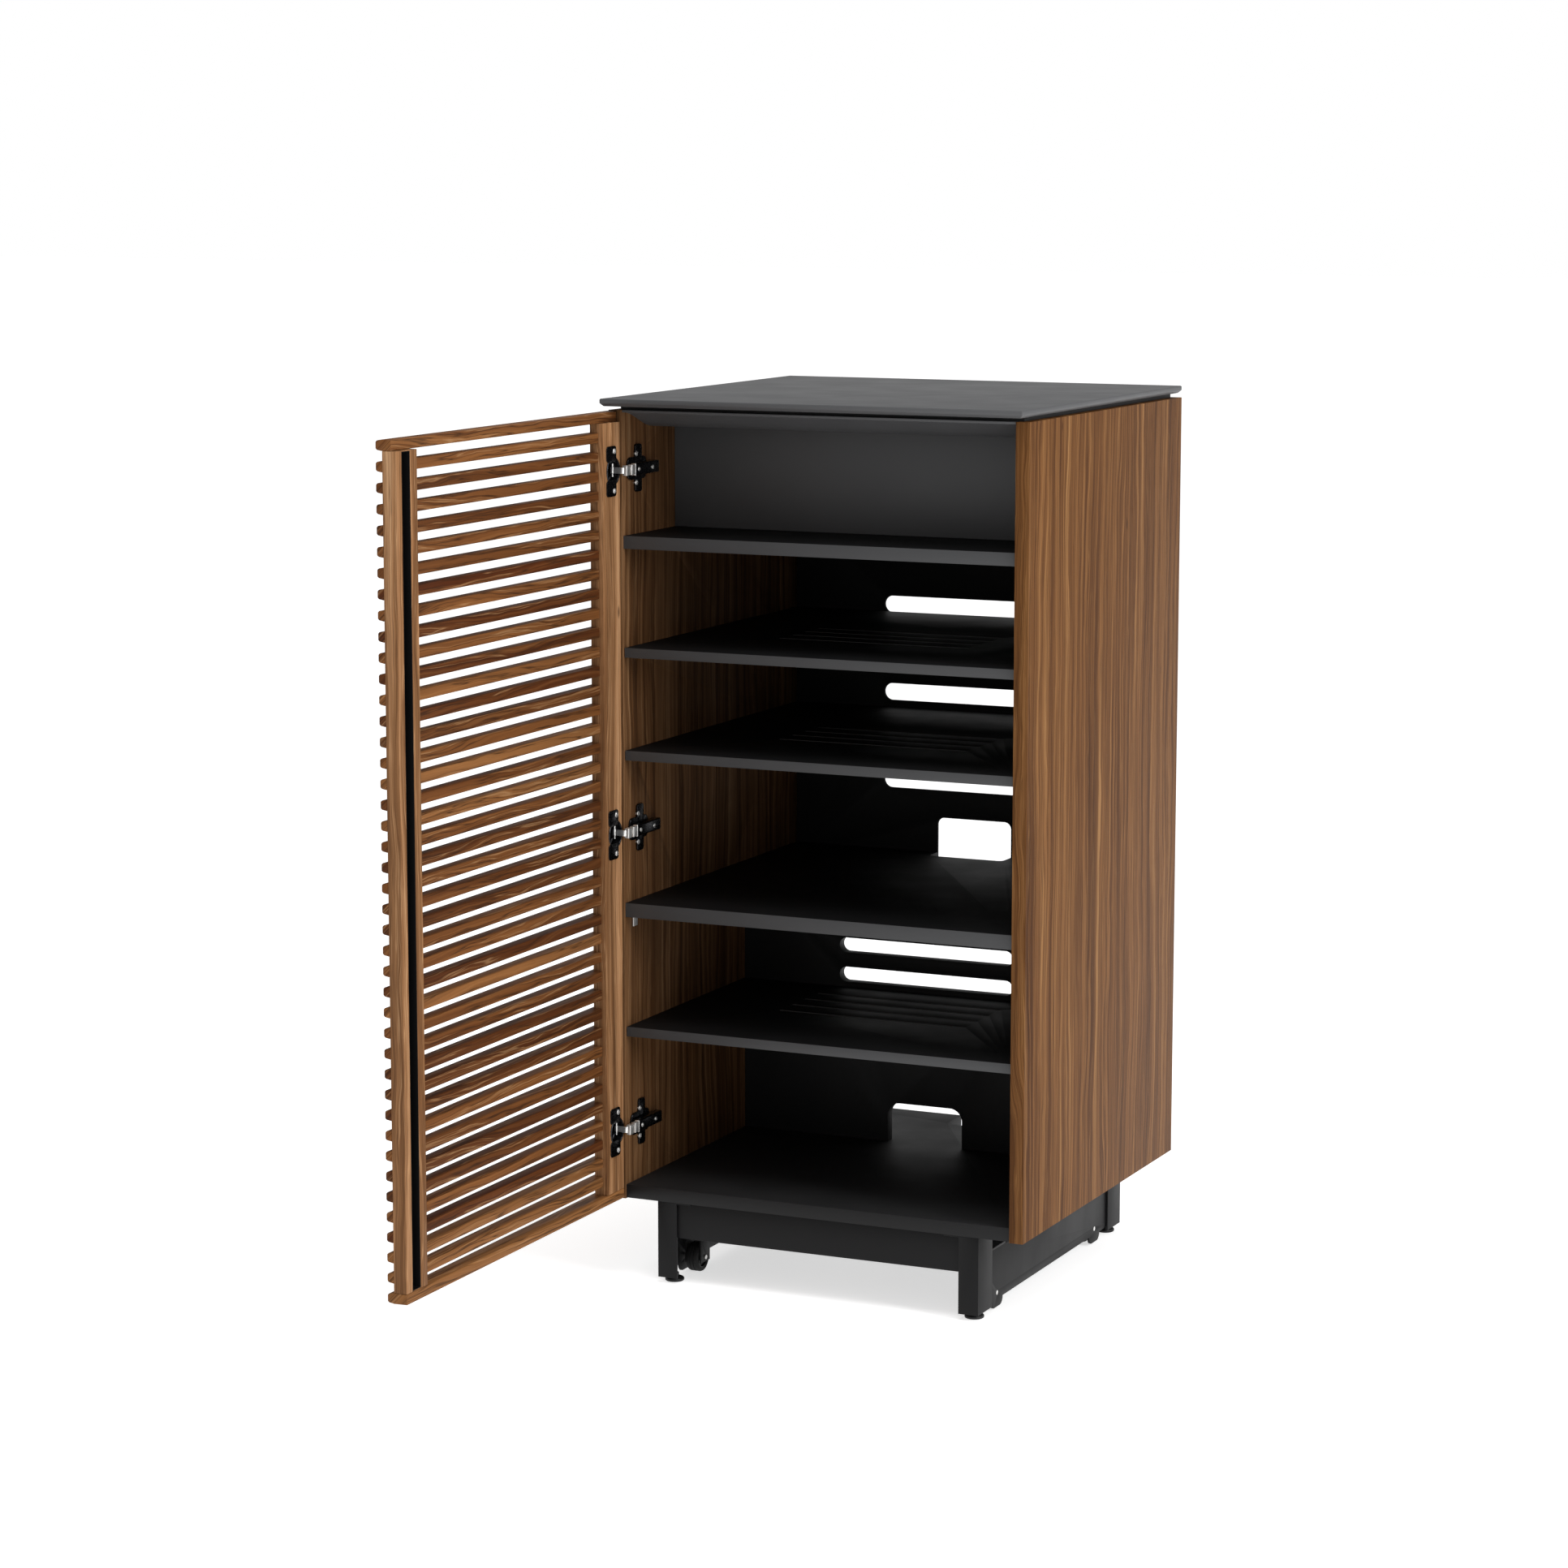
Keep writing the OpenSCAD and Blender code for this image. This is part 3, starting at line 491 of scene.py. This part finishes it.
for node_name, (ease, material, slot_name) in PANELS.items():
    lift = RAIL_LIFT if node_name in CROSS_RAILS else 0.0
    eased(node_name, ease * MM, material, "cabinet", FORWARD_FACE_MATERIALS.get(material), lift)
for node_name, (ease, material, slot_name) in DOOR_PARTS.items():
    eased(node_name, ease * MM, material, "door")

for node_name, material in (("panel_dowels", beech), ("base_screws", nickel), ("wheel_axles", nickel),
                            ("hinge_pins", nickel)):
    cad = frame["nodes"][node_name]
    cad.data.materials.clear()
    cad.data.materials.append(material)


# ---------- screws ----------


def cross_screw(name, radius, height, shaft_radius, shaft_length):
    """A pan-head screw along +Z: a domed head on z = 0 with a cross recess, and a plain shaft below."""
    bm = bmesh.new()
    dome = [(radius * math.cos(a), height * (0.35 + 0.65 * math.sin(a)))
            for a in (math.pi / 2 * i / 5 for i in range(6))]
    lathe(bm, [(0, -shaft_length), (shaft_radius, -shaft_length), (shaft_radius, 0), (radius, 0)]
          + dome[:-1] + [(0, height)], 28)
    screw = to_mesh(name, bm)
    arm = radius * 0.62
    cutter_bm = bmesh.new()
    for turn in (0, math.pi / 2):
        spin = Matrix.Rotation(turn, 4, "Z") @ Matrix.Translation((0, 0, height * 0.35))
        prism(cutter_bm, round_rectangle(2 * arm, arm * 0.36, arm * 0.1, 2), height, spin)
    cutter_mesh = to_mesh(name + "_cutter", cutter_bm)
    cutter_mesh = settle(name + "_cutter", cutter_mesh, ("REMESH", {
        "mode": "VOXEL", "voxel_size": radius / 40}))
    cutter = bpy.data.objects.new(name + "_cutter", cutter_mesh)
    bpy.context.scene.collection.objects.link(cutter)
    cut = settle(name, screw, ("BOOLEAN", {"operation": "DIFFERENCE", "object": cutter, "solver": "EXACT"}))
    bpy.data.objects.remove(cutter)
    return cut


def set_of(name, mesh, places, material, body, replaced):
    """One piece made of a mesh repeated at several places."""
    bm = bmesh.new()
    for place in places:
        copy = mesh.copy()
        copy.transform(place)
        bm.from_mesh(copy)
        bpy.data.meshes.remove(copy)
    joined = bpy.data.meshes.new(name)
    bm.to_mesh(joined)
    bm.free()
    return add_object(name, joined, material, body, replaced)


# ---------- hinges ----------

CUP_Y = -14 * MM
CUP_RADIUS = 17.5 * MM
CUP_DEPTH = 13 * MM
CUP_WALL = 0.6 * MM
FLANGE_Y = (-33.5 * MM, -6 * MM)
FLANGE_T = 1.2 * MM
EAR_Z = (12 * MM, 33 * MM)
SCREW_SPREAD = 26 * MM
SCREW_Y = -12 * MM
WALL_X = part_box("side_panel_left")[1].x
PLATE_T = 3 * MM
PLATE_SCREW_Y = 48 * MM
PLATE_SCREW_SPREAD = 19 * MM
NECK_X = PIVOT_X + 17 * MM
NECK_DROP = 2.5 * MM
NECK_HALF_T = 1.2 * MM
# Where each block on the neck starts and ends in y, and its height, in millimetres
NECK_BLOCKS = ((-1.5, 8.5, 13.0), (13.5, 24.0, 13.4), (24.0, 26.0, 15.6))
ARM_FRONT = 26 * MM
ARM_OFF_WALL = 3.2 * MM
EARS_Y = (36 * MM, 66 * MM)
ADJUSTERS_Y = (34 * MM, 74 * MM)


def hinge_cup(which, z):
    """A drawn steel cup with a rolled rim, and a flange with two ears."""
    bm = bmesh.new()
    into = facing((1, 0, 0), (INNER_X, CUP_Y, z))
    rim = CUP_RADIUS + 1.5 * MM
    inside = CUP_RADIUS - CUP_WALL
    lathe(bm, [
        (0, -CUP_DEPTH), (CUP_RADIUS - 1.5 * MM, -CUP_DEPTH), (CUP_RADIUS, -CUP_DEPTH + 1.5 * MM),
        (CUP_RADIUS, 0), (rim, 0), (rim, 0.7 * MM), (rim - 0.6 * MM, 1.35 * MM),
        (inside + 0.5 * MM, 1.35 * MM), (inside, 0.8 * MM),
        (inside, -CUP_DEPTH + 2.2 * MM), (inside - 1.2 * MM, -CUP_DEPTH + 1 * MM),
        (0, -CUP_DEPTH + 1 * MM),
    ], 56, into)
    middle = (FLANGE_Y[0] + FLANGE_Y[1]) / 2
    length = EAR_Z[1] - EAR_Z[0]
    for side in (-1, 1):
        centre = Vector((INNER_X, middle, z + side * (EAR_Z[0] + EAR_Z[1]) / 2))
        outline = round_rectangle(length, FLANGE_Y[1] - FLANGE_Y[0], 5 * MM)
        prism(bm, outline, FLANGE_T, facing((1, 0, 0), centre) @ Matrix.Rotation(math.pi / 2, 4, "Z"))
    mesh = settle(f"hinge_cup_{which}_detail", to_mesh("cup", bm), bevel_by(0.3 * MM))
    add_object(f"hinge_cup_{which}_detail", mesh, black_nickel, "door",
               [f"hinge_cup_{which}"])


def strip_outline(points, half):
    """The outline of a strip of even thickness along a run of points in XY."""
    left, right = [], []
    for i, point in enumerate(points):
        before = Vector(points[max(i - 1, 0)])
        after = Vector(points[min(i + 1, len(points) - 1)])
        ahead = (after - before).normalized()
        normal = Vector((-ahead.y, ahead.x))
        left.append(Vector(point) + normal * half)
        right.append(Vector(point) - normal * half)
    return [(p.x, p.y) for p in right + left[::-1]]


def neck_route(front):
    """From the pin, out of the cup, round a bend and back to the arm's body."""
    bend = 3.2 * MM
    corner = Vector((NECK_X, -NECK_DROP))
    start = Vector((PIVOT_X + 1.5 * MM, 0.0))
    turn_in = corner - (corner - start).normalized() * bend
    turn_out = corner + Vector((0, bend))
    route = [start, turn_in]
    for i in range(1, 6):
        t = i / 6
        route.append(turn_in * (1 - t) ** 2 + corner * 2 * t * (1 - t) + turn_out * t ** 2)
    return route + [turn_out, Vector((NECK_X, front))]


def hinge_arm(which, z, lo, hi):
    """A nickel neck that carries three blocks, from the pin to a black arm."""
    bm = bmesh.new()
    eye = 2.3 * MM
    bore = 1.25 * MM
    half = 4 * MM
    lathe(bm, [(bore, -half), (eye, -half), (eye, half), (bore, half)], 24,
          Matrix.Translation((PIVOT_X, 0, z)))
    neck = strip_outline(neck_route(ARM_FRONT + 2 * MM), NECK_HALF_T)
    prism(bm, neck, 2 * half, Matrix.Translation((0, 0, z - half)))
    for y0, y1, tall in NECK_BLOCKS:
        block = round_rectangle(6.5 * MM, (y1 - y0) * MM, 0.7 * MM, 3)
        corner = (hi.x - 3.3 * MM, (y0 + y1) / 2 * MM, z - tall / 2 * MM)
        prism(bm, block, tall * MM, Matrix.Translation(corner))
    mesh = settle("neck", to_mesh("neck", bm), bevel_by(0.35 * MM))
    add_object(f"hinge_neck_{which}", mesh, nickel, "cabinet", [f"hinge_arm_{which}"])

    bm = bmesh.new()
    inner = WALL_X + ARM_OFF_WALL
    section = round_rectangle(hi.x - inner, hi.z - lo.z, 2.2 * MM)
    prism(bm, section, hi.y - ARM_FRONT, facing((0, 1, 0), ((inner + hi.x) / 2, ARM_FRONT, z)))
    mesh = settle("arm", to_mesh("arm", bm), bevel_by(0.6 * MM))
    add_object(f"hinge_body_{which}", mesh, black_nickel, "cabinet", [f"hinge_arm_{which}"])


def hinge_plate(which, z, lo, hi):
    """A winged mounting plate: a long spine under the arm and two round-ended ears."""
    bm = bmesh.new()
    place = facing((1, 0, 0), (WALL_X, 0, z)) @ Matrix.Rotation(math.pi / 2, 4, "Z")
    turned = place.inverted()

    def local(y):
        p = turned @ Vector((WALL_X, y, z))
        return Matrix.Translation((p.x, p.y, 0))

    spine = round_rectangle(hi.y - lo.y, 18 * MM, 4 * MM)
    prism(bm, spine, PLATE_T, place @ local((lo.y + hi.y) / 2))
    ears = round_rectangle(EARS_Y[1] - EARS_Y[0], hi.z - lo.z, 9 * MM)
    prism(bm, ears, PLATE_T - 0.2 * MM, place @ local(sum(EARS_Y) / 2))
    mesh = settle("plate", to_mesh("plate", bm), bevel_by(0.6 * MM))
    add_object(f"hinge_plate_{which}_detail", mesh, black_nickel, "cabinet",
               [f"hinge_plate_{which}"])


screw = cross_screw("hinge_screw", 3.6 * MM, 1.3 * MM, 1.9 * MM, 11 * MM)
adjuster = cross_screw("adjuster_screw", 2.9 * MM, 1.0 * MM, 1.6 * MM, 3 * MM)
cup_places, plate_places, adjuster_places = [], [], []
for which in HINGES:
    arm_lo, arm_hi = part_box(f"hinge_arm_{which}")
    plate_lo, plate_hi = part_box(f"hinge_plate_{which}")
    level = (arm_lo.z + arm_hi.z) / 2
    hinge_cup(which, level)
    hinge_arm(which, level, arm_lo, arm_hi)
    hinge_plate(which, level, plate_lo, plate_hi)
    for side in (-1, 1):
        turn = Matrix.Rotation(0.6 * side, 4, "Z")
        on_cup = (INNER_X + FLANGE_T, SCREW_Y, level + side * SCREW_SPREAD)
        cup_places.append(facing((1, 0, 0), on_cup) @ turn)
        on_plate = (WALL_X + PLATE_T, PLATE_SCREW_Y, level + side * PLATE_SCREW_SPREAD)
        plate_places.append(facing((1, 0, 0), on_plate) @ turn)
    for y in ADJUSTERS_Y:
        adjuster_places.append(facing((1, 0, 0), (arm_hi.x, y, level)))
set_of("hinge_cup_screw_set", screw, cup_places, nickel, "door", ["hinge_cup_screws"])
set_of("hinge_plate_screw_set", screw, plate_places, nickel, "cabinet", ["hinge_plate_screws"])
set_of("hinge_adjuster_set", adjuster, adjuster_places, nickel, "cabinet", [])


# ---------- levelling feet and wheels ----------


def thread(bm, radius, depth, pitch, z0, z1, steps=20, rows=4):
    """A threaded stud: a tube whose radius follows a helical wave."""
    count = int((z1 - z0) / pitch * rows)
    rings = []
    for row in range(count + 1):
        z = z0 + (z1 - z0) * row / count
        ring = []
        for i in range(steps):
            phase = (z / pitch - i / steps) % 1.0
            r = radius - depth * abs(2 * phase - 1)
            a = 2 * math.pi * i / steps
            ring.append(bm.verts.new((r * math.cos(a), r * math.sin(a), z)))
        rings.append(ring)
    for low, high in zip(rings, rings[1:]):
        for i in range(steps):
            j = (i + 1) % steps
            bm.faces.new([low[i], low[j], high[j], high[i]])
    bm.faces.new(list(reversed(rings[0])))
    bm.faces.new(rings[-1])


def levelling_foot(corner):
    """A moulded foot disc with a hexagonal neck, on a threaded stud."""
    node = f"leveller_{corner}"
    lo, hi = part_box(node)
    centre = Vector(((lo.x + hi.x) / 2, (lo.y + hi.y) / 2, 0))
    bm = bmesh.new()
    radius = (hi.x - lo.x) / 2
    lathe(bm, [
        (0, 0), (radius - 1.2 * MM, 0), (radius, 1.2 * MM), (radius, 3.2 * MM),
        (radius - 1.0 * MM, 4.6 * MM), (radius - 4.0 * MM, 6 * MM), (7.2 * MM, 6.4 * MM), (0, 6.4 * MM),
    ], 48)
    sixths = [math.pi / 3 * i for i in range(6)]
    hexagon = [(6.5 * MM * math.cos(a), 6.5 * MM * math.sin(a)) for a in sixths]
    prism(bm, hexagon, 6 * MM, Matrix.Translation((0, 0, 5 * MM)))
    mesh = to_mesh("foot", bm)
    mesh.transform(Matrix.Translation(centre))
    mesh = settle("foot", mesh, bevel_by(0.4 * MM))
    add_object(node + "_foot", mesh, plastic_black, node, [node])
    bm = bmesh.new()
    thread(bm, 4.0 * MM, 0.45 * MM, 1.25 * MM, 10.9 * MM, hi.z)
    mesh = to_mesh("stud", bm)
    mesh.transform(Matrix.Translation(centre))
    add_object(node + "_stud", mesh, black_nickel, node, [node])


def base_wheel(corner):
    """A rubber tread with two grooves, on a hub with a recessed web."""
    node = f"wheel_{corner}"
    lo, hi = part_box(node)
    place = facing((1, 0, 0), (lo + hi) / 2)
    radius = (hi.z - lo.z) / 2
    half = (hi.x - lo.x) / 2
    rim = radius - 5 * MM
    groove = [(radius, -half + 3 * MM), (radius, -3.4 * MM), (radius - 0.9 * MM, -2.9 * MM),
              (radius - 0.9 * MM, -2.1 * MM), (radius, -1.6 * MM)]
    tread = [(rim, -half), (radius - 3 * MM, -half), (radius - 0.9 * MM, -half + 0.9 * MM)]
    tread += groove + [(r, -h) for r, h in reversed(groove)]
    tread += [(radius - 0.9 * MM, half - 0.9 * MM), (radius - 3 * MM, half), (rim, half)]
    bm = bmesh.new()
    lathe(bm, tread, 48, place)
    add_object(node + "_tread", to_mesh("tread", bm), rubber_black, node, [node])
    bore = 3.05 * MM
    web = half - 3.5 * MM
    lip = half - 0.6 * MM
    hub = [(bore, -half), (6 * MM, -half), (6.6 * MM, -web), (rim - 2.2 * MM, -web),
           (rim - 1.6 * MM, -lip), (rim, -lip), (rim, lip), (rim - 1.6 * MM, lip),
           (rim - 2.2 * MM, web), (6.6 * MM, web), (6 * MM, half), (bore, half)]
    bm = bmesh.new()
    lathe(bm, hub, 48, place)
    add_object(node + "_hub", to_mesh("hub", bm), plastic_black, node, [node])


for corner_name in CORNERS:
    levelling_foot(corner_name)
    base_wheel(corner_name)


# ---------- floor, light and camera ----------

# How strongly the surroundings light the cabinet, and how strongly the floor glows
AMBIENT = 0.55
FLOOR_GLOW = 0.62
FLOOR_HALF_SIZE = 40.0
WHITE = (1.0, 1.0, 1.0, 1.0)
LOOK_AT = (0, 0, 0.6)
CAMERA_PLACE = (2.2364, -4.9269, 1.5258)
CAMERA_DOWN = math.radians(8.718)
CAMERA_AZIMUTH = math.radians(24.777)


def pale_floor():
    """A wide white floor, bright enough to run into the background."""
    bm = bmesh.new()
    bmesh.ops.create_grid(bm, x_segments=2, y_segments=2, size=FLOOR_HALF_SIZE)
    mesh = bpy.data.meshes.new("floor")
    bm.to_mesh(mesh)
    bm.free()
    graph = Graph("pale_floor")
    coordinates = graph.add("ShaderNodeTexCoord")
    cloud = graph.noise(coordinates.outputs["Object"], 1.5, 2.0)
    graph.join(graph.ramp(cloud, [(0.3, 0.86), (0.7, 0.90)]), graph.shader.inputs["Base Color"])
    graph.shader.inputs["Roughness"].default_value = 0.9
    graph.shader.inputs["Emission Color"].default_value = WHITE
    graph.shader.inputs["Emission Strength"].default_value = FLOOR_GLOW
    mesh.materials.append(graph.material)
    floor = bpy.data.objects.new("floor", mesh)
    bpy.context.scene.collection.objects.link(floor)


def softbox(name, place, size, power):
    """A rectangular area light that points at the middle of the cabinet."""
    light = bpy.data.lights.new(name, "AREA")
    light.shape = "RECTANGLE"
    light.size, light.size_y = size
    light.energy = power
    lamp = bpy.data.objects.new(name, light)
    lamp.location = place
    lamp.rotation_euler = (Vector(LOOK_AT) - Vector(place)).to_track_quat("-Z", "Y").to_euler()
    bpy.context.scene.collection.objects.link(lamp)


def studio():
    """A white surround that lights less strongly than it looks, and two softboxes."""
    world = bpy.data.worlds.new("studio")
    bpy.context.scene.world = world
    world.use_nodes = True
    tree = world.node_tree
    seen = tree.nodes["Background"]
    seen.inputs["Strength"].default_value = 1.0
    seen.inputs["Color"].default_value = WHITE
    lighting = tree.nodes.new("ShaderNodeBackground")
    lighting.inputs["Color"].default_value = WHITE
    lighting.inputs["Strength"].default_value = AMBIENT
    path = tree.nodes.new("ShaderNodeLightPath")
    choice = tree.nodes.new("ShaderNodeMixShader")
    tree.links.new(path.outputs["Is Camera Ray"], choice.inputs[0])
    tree.links.new(lighting.outputs[0], choice.inputs[1])
    tree.links.new(seen.outputs[0], choice.inputs[2])
    tree.links.new(choice.outputs[0], tree.nodes["World Output"].inputs["Surface"])
    softbox("key", (5.0, -0.8, 2.4), (2.0, 2.4), 160)
    softbox("overhead", (0.8, -1.2, 4.2), (1.8, 1.8), 50)
    bpy.context.scene.view_settings.view_transform = "Standard"


def camera():
    data = bpy.data.cameras.new("camera")
    data.sensor_width = 36.0
    data.lens = 97.1
    holder = bpy.data.objects.new("camera", data)
    holder.location = CAMERA_PLACE
    holder.rotation_euler = (math.radians(90) - CAMERA_DOWN, 0, CAMERA_AZIMUTH)
    bpy.context.scene.collection.objects.link(holder)
    bpy.context.scene.camera = holder


pale_floor()
studio()
camera()
